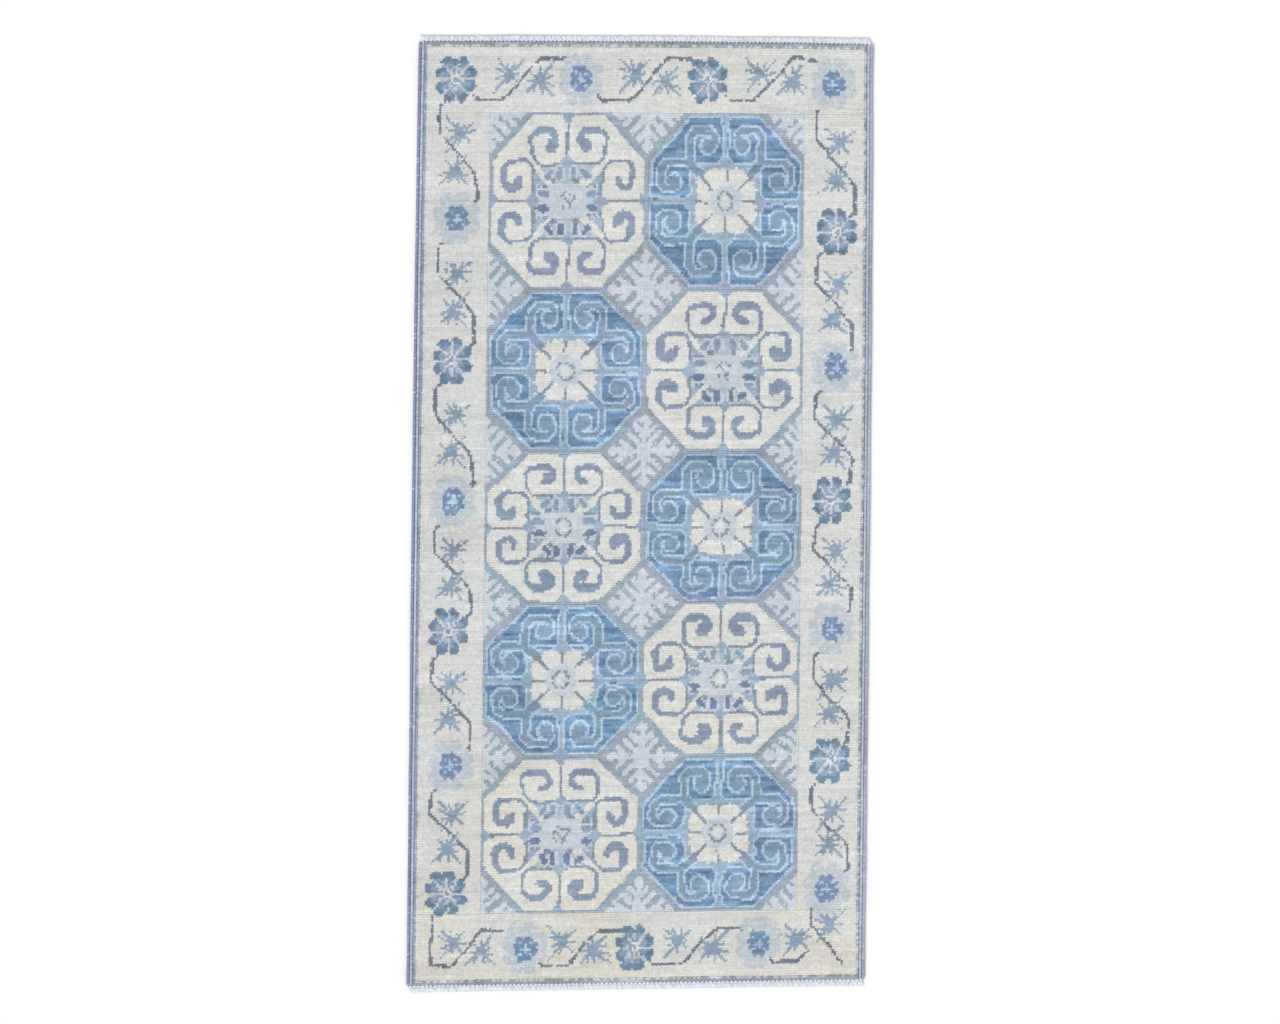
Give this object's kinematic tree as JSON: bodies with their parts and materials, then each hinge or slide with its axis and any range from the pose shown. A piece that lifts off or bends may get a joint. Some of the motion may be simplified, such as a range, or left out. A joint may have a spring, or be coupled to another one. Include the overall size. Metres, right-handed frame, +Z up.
{
  "type": "runner rug",
  "caption": "Hand-knotted wool runner rug lying flat: blue and ivory scroll medallions in a flowering border, wrapped side cords and trimmed cotton ends.",
  "frame": {"origin": "centre of the rug's bounding box, on the floor under the rug", "axes": "+Y along the rug towards its top end, +X across it to the right, +Z up out of the pile"},
  "size_m": [0.8314, 1.7058, 0.009],
  "materials": {
    "foundation_cotton": "plain-woven undyed cotton warps and wefts with the knots showing through on the back",
    "guard_wool": "clipped hand-spun wool pile, grey-green and slate",
    "border_wool": "clipped hand-spun wool pile, warm ivory with blue figures",
    "ground_wool": "clipped hand-spun wool pile, greyed mid blue with pale leaves",
    "ivory_medallion_wool": "clipped hand-spun wool pile, ivory scrolls on greyed blue",
    "blue_medallion_wool": "clipped hand-spun wool pile, abrashed deep blue with pale scroll lines",
    "inner_selvedge_wool": "wrapped wool yarn, light grey blue with pale ticks",
    "outer_selvedge_wool": "wrapped wool yarn, lavender blue",
    "core_cotton": "bundle of plied cotton warps",
    "end_cotton": "washed white cotton web and trimmed warp ends with a lavender cast",
    "stitch_cotton": "plied white cotton stitching"
  },
  "bodies": {
    "root": {"border_pile_bottom": "border_wool", "border_pile_left": "border_wool", "border_pile_right": "border_wool", "border_pile_top": "border_wool", "end_guard_pile_bottom": "guard_wool", "end_guard_pile_top": "guard_wool", "end_web_bottom": "end_cotton", "end_web_top": "end_cotton", "field_ground_pile": "ground_wool", "foundation_weave": "foundation_cotton", "lock_stitch_row_bottom": "stitch_cotton", "lock_stitch_row_top": "stitch_cotton", "medallion_pile_left_1": "ivory_medallion_wool", "medallion_pile_left_2": "blue_medallion_wool", "medallion_pile_left_3": "ivory_medallion_wool", "medallion_pile_left_4": "blue_medallion_wool", "medallion_pile_left_5": "ivory_medallion_wool", "medallion_pile_right_1": "blue_medallion_wool", "medallion_pile_right_2": "ivory_medallion_wool", "medallion_pile_right_3": "blue_medallion_wool", "medallion_pile_right_4": "ivory_medallion_wool", "medallion_pile_right_5": "blue_medallion_wool", "selvedge_core_left_inner": "core_cotton", "selvedge_core_left_outer": "core_cotton", "selvedge_core_right_inner": "core_cotton", "selvedge_core_right_outer": "core_cotton", "selvedge_wrap_left_inner": "inner_selvedge_wool", "selvedge_wrap_left_outer": "outer_selvedge_wool", "selvedge_wrap_right_inner": "inner_selvedge_wool", "selvedge_wrap_right_outer": "outer_selvedge_wool", "side_guard_pile_left": "guard_wool", "side_guard_pile_right": "guard_wool", "warp_ends_bottom": "end_cotton", "warp_ends_top": "end_cotton"}
  },
  "joints": []
}
